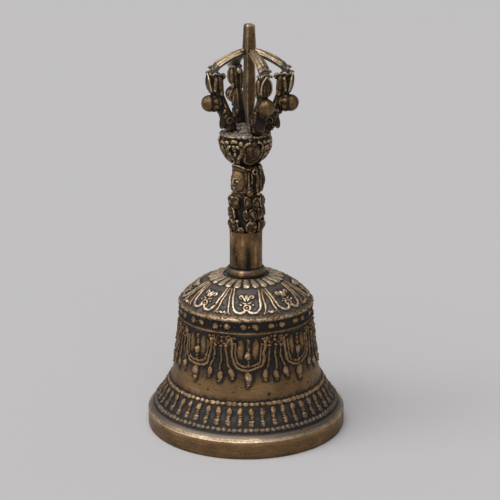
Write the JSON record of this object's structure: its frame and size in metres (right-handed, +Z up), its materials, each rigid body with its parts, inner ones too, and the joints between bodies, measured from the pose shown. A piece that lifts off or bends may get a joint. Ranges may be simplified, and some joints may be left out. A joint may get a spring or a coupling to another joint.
{
  "type": "ritual bell",
  "caption": "Cast ritual hand bell: flared cup on a heavy lip, a stacked handle with a face section, a half vajra on top and a hanging clapper inside.",
  "frame": {"origin": "centre of the circle that the lip stands on", "axes": "+Z up the handle, -Y towards the viewer of the picture, +X to the right"},
  "size_m": [0.09, 0.09, 0.182],
  "materials": {
    "bell_metal": "aged cast bell metal, darkened in the hollows and rubbed bright on the relief",
    "handle_bronze": "aged cast bronze, dark in the hollows, rubbed by the hand",
    "iron": "forged iron with a brown-black skin",
    "resin": "dark pitch resin"
  },
  "bodies": {
    "bell": {"bell_cup": "bell_metal", "collar_ring": "handle_bronze", "handle_sleeve": "handle_bronze", "resin_fill": "resin", "lotus_knop": "handle_bronze", "face_section": "handle_bronze", "lotus_bowl": "handle_bronze", "vajra_core": "handle_bronze", "makara_prong_front": "handle_bronze", "makara_prong_right": "handle_bronze", "makara_prong_back": "handle_bronze", "makara_prong_left": "handle_bronze", "tang_rod": "iron", "crown_washer": "iron"},
    "hanger": {"hanger_link": "iron"},
    "clapper": {"clapper": "iron"}
  },
  "joints": [
    {"name": "hanger_swing", "type": "hinge", "parent": "bell", "child": "hanger", "pos_m": [0, 0, 0.0582], "axis": [1, 0, 0], "range_deg": [-31, 31]},
    {"name": "clapper_swing", "type": "hinge", "parent": "hanger", "child": "clapper", "pos_m": [0, 0, 0.05045], "axis": [0, 1, 0], "range_deg": [-12, 12]}
  ]
}
